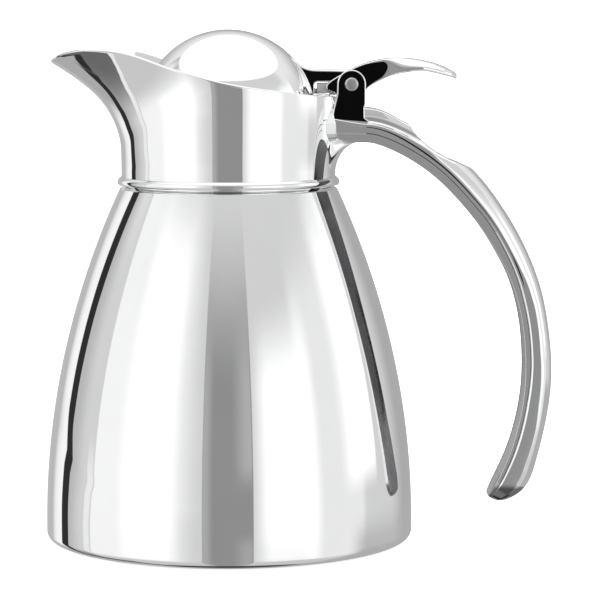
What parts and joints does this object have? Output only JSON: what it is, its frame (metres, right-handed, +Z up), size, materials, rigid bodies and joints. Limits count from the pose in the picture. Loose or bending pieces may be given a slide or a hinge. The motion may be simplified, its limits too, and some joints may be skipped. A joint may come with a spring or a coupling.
{
  "type": "thermal carafe",
  "caption": "Polished double-wall carafe with a drawn-out spout, C-shaped hollow handle and domed stopper lid that a thumb lever lifts on a rear hinge.",
  "frame": {"origin": "centre of the base on the resting plane, on the body's axis", "axes": "+Z up along the body's axis, spout towards -X, handle towards +X, hinge pin along Y"},
  "size_m": [0.1658, 0.12, 0.166],
  "materials": {
    "polished_steel": "mirror-polished stainless steel",
    "plain_steel": "plain stainless steel, satin",
    "copper_foil": "thin bright reflecting foil",
    "getter": "dark sintered tablet",
    "bracket_steel": "flat polished steel with rounded edges",
    "pin_steel": "satin turned steel",
    "spring_steel": "drawn spring wire",
    "block_grey": "matte light grey moulding",
    "bush": "turned bearing bush",
    "stopper_plastic": "black food-grade moulding",
    "insulation": "white insulating foam",
    "gasket": "translucent silicone"
  },
  "bodies": {
    "carafe": {"outer_shell": "polished_steel", "inner_flask": "plain_steel", "heat_foil": "copper_foil", "vacuum_bottom": "plain_steel", "vacuum_seal": "plain_steel", "getter": "getter", "getter_clip": "plain_steel", "base_cover": "plain_steel", "neck_bead": "polished_steel", "spout_collar": "polished_steel", "handle_root": "polished_steel", "handle_shell": "polished_steel", "handle_inner_strip": "polished_steel", "handle_end_cap": "polished_steel", "hinge_bracket": "bracket_steel", "bracket_screws": "plain_steel", "hinge_pin": "pin_steel", "pin_ring": "pin_steel", "hinge_spring": "spring_steel"},
    "lid": {"lid_dome": "polished_steel", "dome_clamp_ring": "plain_steel", "lid_arm": "polished_steel", "hinge_block": "block_grey", "pivot_bush": "bush", "thumb_lever": "polished_steel", "lid_screws": "plain_steel", "stopper_body": "stopper_plastic", "stopper_insulation": "insulation", "stopper_bottom": "plain_steel", "lid_gasket": "gasket"}
  },
  "joints": [
    {"name": "lid_hinge", "type": "hinge", "parent": "carafe", "child": "lid", "pos_m": [0.0399, 0, 0.14845], "axis": [0, 1, 0], "range_deg": [0, 39], "stiffness_Nm_per_rad": 0.06, "springref_deg": -28.65, "deforming": ["hinge_spring"]}
  ]
}
